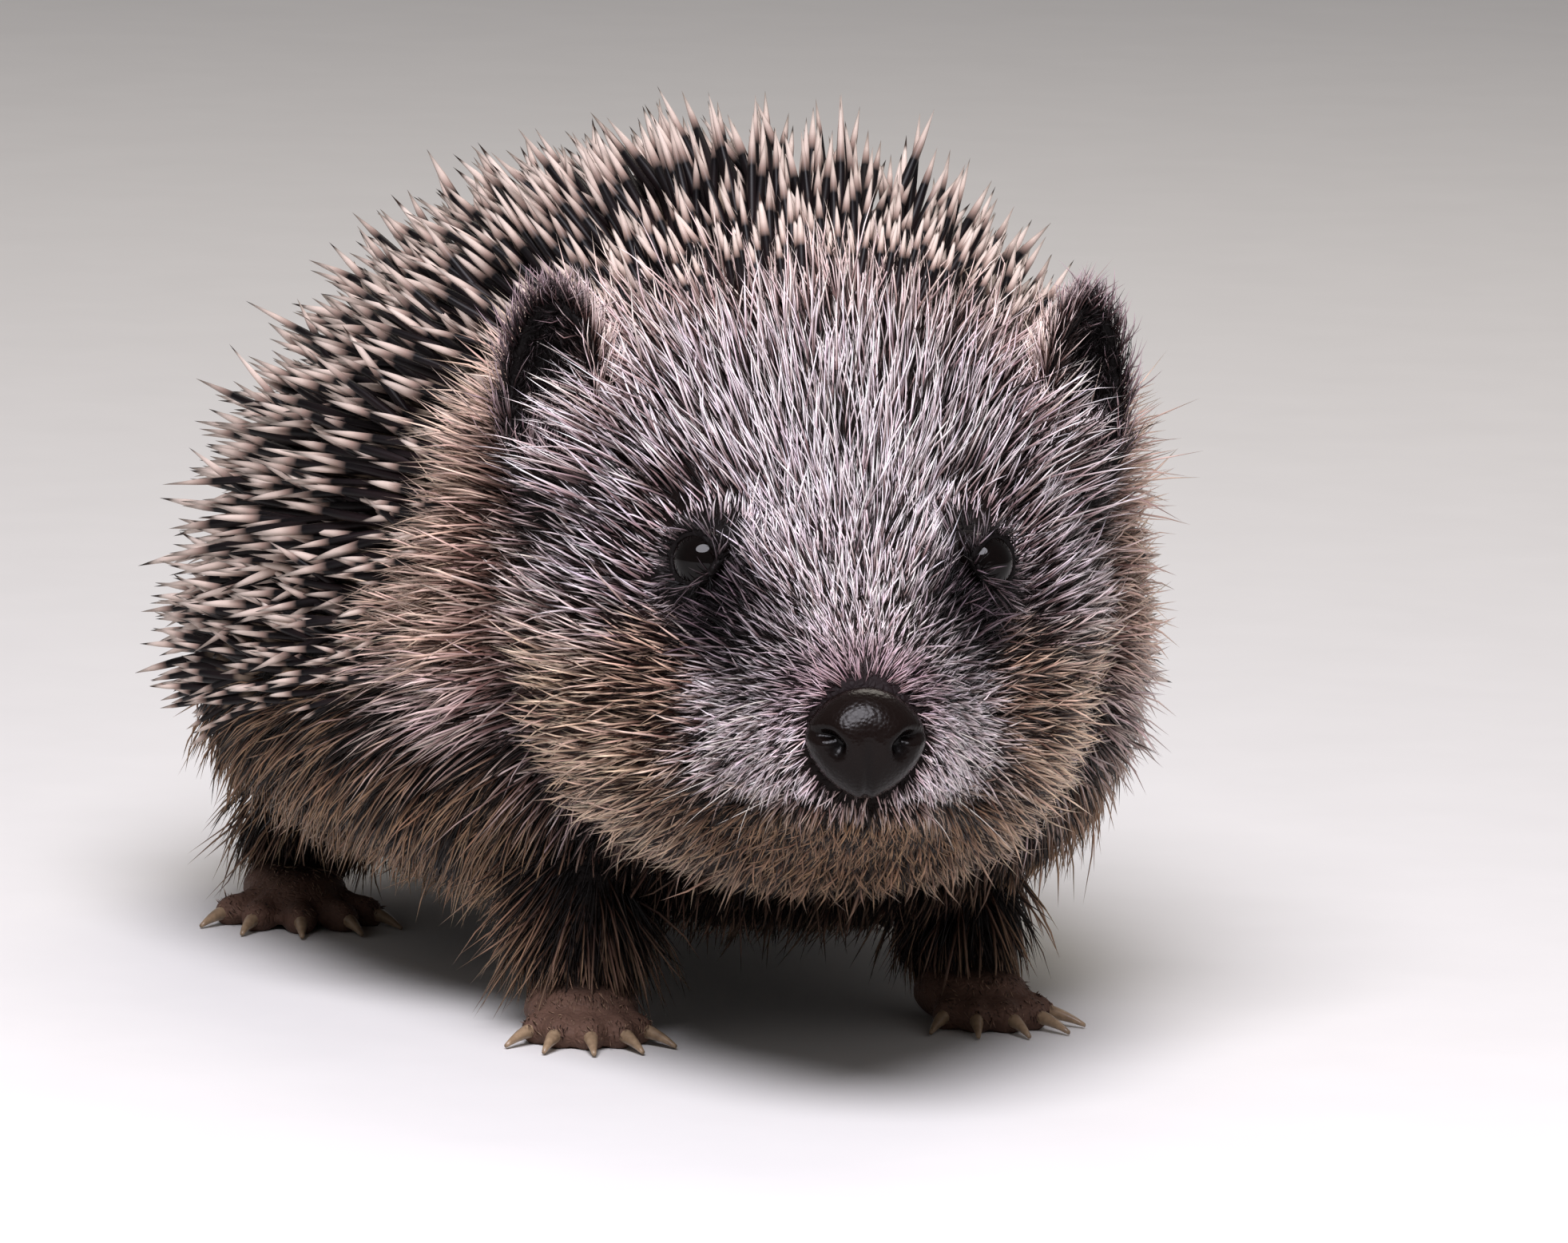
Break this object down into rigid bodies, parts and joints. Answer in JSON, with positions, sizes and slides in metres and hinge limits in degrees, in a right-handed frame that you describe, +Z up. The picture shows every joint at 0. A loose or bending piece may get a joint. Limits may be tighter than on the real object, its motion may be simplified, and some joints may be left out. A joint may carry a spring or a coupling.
{
  "type": "hedgehog",
  "caption": "A young hedgehog standing on its feet, with a spiny arched back, a furry tapering face with a round nose, small round ears and its head turned a little aside.",
  "frame": {"origin": "the middle of the base of the bounding box, on the floor that the feet stand on", "axes": "+Z up, +Y back along the trunk towards the rump, so the animal faces -Y, and +X to the animal's left"},
  "size_m": [0.0946, 0.1798, 0.0884],
  "materials": {
    "spiny_coat": "stiff keratin spines, cream with a dark band, over dark underfur",
    "face_fur": "coarse grey-brown fur with long silvery white hairs",
    "body_fur": "coarse brown fur",
    "ear_skin": "thin dark skin with short fine hairs",
    "paw_skin": "thinly haired brown skin with horny claws",
    "nose_skin": "bare, moist, pebbled black skin",
    "eye": "wet black eye"
  },
  "bodies": {
    "root": {"nose": "nose_skin", "snout": "face_fur", "jaw": "face_fur", "head": "face_fur", "eye_left": "eye", "eye_right": "eye", "ear_left": "ear_skin", "ear_right": "ear_skin", "neck": "spiny_coat", "shoulders": "spiny_coat", "trunk": "spiny_coat", "rump": "spiny_coat", "tail": "body_fur", "leg_front_left": "body_fur", "leg_front_right": "body_fur", "leg_hind_left": "body_fur", "leg_hind_right": "body_fur", "paw_front_left": "paw_skin", "paw_front_right": "paw_skin", "paw_hind_left": "paw_skin", "paw_hind_right": "paw_skin"}
  },
  "joints": []
}
